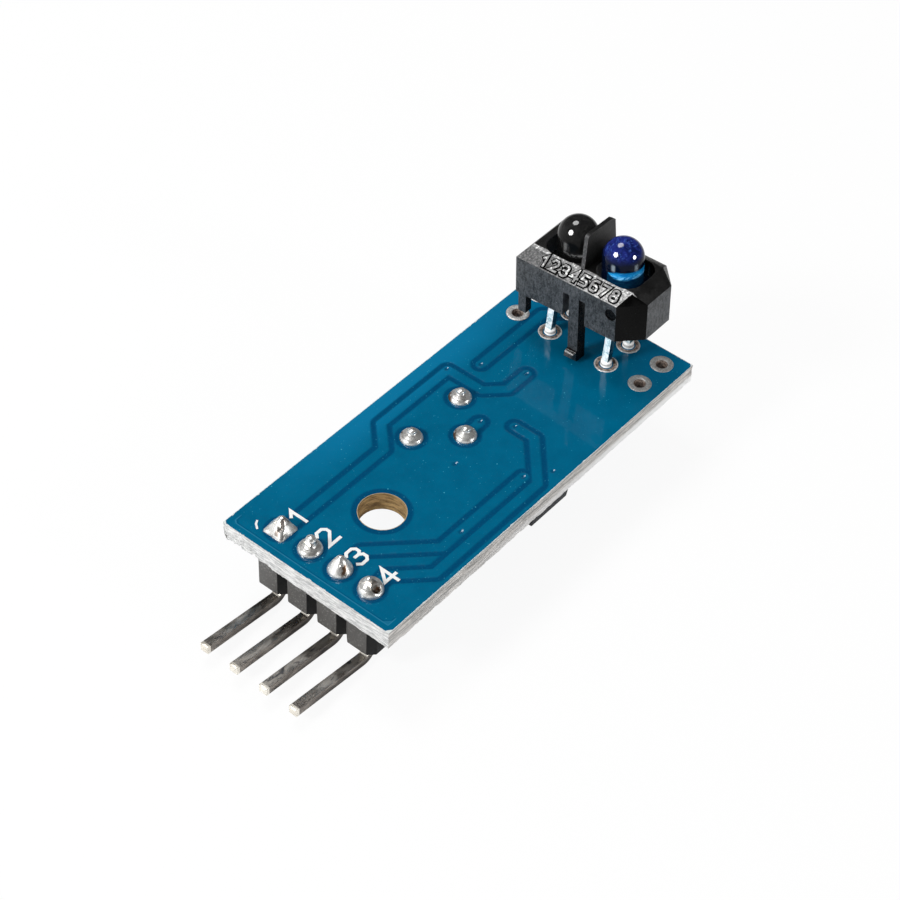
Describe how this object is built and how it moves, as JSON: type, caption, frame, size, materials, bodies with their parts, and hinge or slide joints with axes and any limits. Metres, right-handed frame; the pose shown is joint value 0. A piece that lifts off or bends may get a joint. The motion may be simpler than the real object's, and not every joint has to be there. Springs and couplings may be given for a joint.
{
  "type": "infrared line tracking sensor",
  "caption": "Small circuit board with a reflective infrared sensor standing at one end, a right-angle pin header at the other and a trimming potentiometer underneath.",
  "frame": {"origin": "centre of the mounting hole, on the board face that carries the reflective sensor", "axes": "+X along the board from the header to the sensor, +Y across the board towards header pin 1, +Z out of the face that carries the sensor"},
  "size_m": [0.0383, 0.014, 0.0169],
  "materials": {
    "solder_mask": "glossy blue solder resist",
    "tinned_copper": "tinned copper",
    "solder": "bright tin solder",
    "pin_metal": "tinned, slightly tarnished",
    "header_plastic": "satin",
    "sensor_plastic": "satin black moulding",
    "detector_epoxy": "polished, opaque to visible light",
    "emitter_epoxy": "polished, tinted and clear",
    "lead_metal": "tinned",
    "trimmer_plastic": "satin",
    "rotor_plastic": "satin",
    "spring_metal": "rolled",
    "element_ceramic": "fired",
    "package_plastic": "fine matte",
    "resistor_body": "glazed black top",
    "capacitor_body": "fired",
    "chip_caps": "tinned",
    "light_base": "white",
    "light_lens": "clear"
  },
  "bodies": {
    "module": {"circuit_board": "solder_mask", "spare_eyelets": "tinned_copper", "surface_lands": "tinned_copper", "header_housing": "header_plastic", "header_pin_1": "pin_metal", "header_pin_2": "pin_metal", "header_pin_3": "pin_metal", "header_pin_4": "pin_metal", "header_solder_1": "solder", "header_solder_2": "solder", "header_solder_3": "solder", "header_solder_4": "solder", "sensor_housing": "sensor_plastic", "detector_lens": "detector_epoxy", "emitter_lens": "emitter_epoxy", "detector_lead_1": "lead_metal", "detector_lead_2": "lead_metal", "emitter_lead_1": "lead_metal", "emitter_lead_2": "lead_metal", "sensor_solder_1": "solder", "sensor_solder_2": "solder", "sensor_solder_3": "solder", "sensor_solder_4": "solder", "trimmer_housing": "trimmer_plastic", "trimmer_element": "element_ceramic", "trimmer_pin_1": "lead_metal", "trimmer_pin_2": "lead_metal", "trimmer_pin_3": "lead_metal", "trimmer_solder_1": "solder", "trimmer_solder_2": "solder", "trimmer_solder_3": "solder", "comparator_body": "package_plastic", "comparator_lead_set": "lead_metal", "resistor_1": "resistor_body", "resistor_1_caps": "chip_caps", "resistor_2": "resistor_body", "resistor_2_caps": "chip_caps", "resistor_3": "resistor_body", "resistor_3_caps": "chip_caps", "resistor_4": "resistor_body", "resistor_4_caps": "chip_caps", "resistor_5": "resistor_body", "resistor_5_caps": "chip_caps", "capacitor_1": "capacitor_body", "capacitor_1_caps": "chip_caps", "capacitor_2": "capacitor_body", "capacitor_2_caps": "chip_caps", "power_light_base": "light_base", "output_light_base": "light_base", "power_light_lens": "light_lens", "output_light_lens": "light_lens"},
    "rotor": {"trimmer_rotor": "rotor_plastic", "trimmer_wiper": "spring_metal"}
  },
  "joints": [
    {"name": "trimmer_turn", "type": "hinge", "parent": "module", "child": "rotor", "pos_m": [0.00884, 0.002, -0.006], "axis": [0, 0, 1], "range_deg": [-130, 130]}
  ]
}
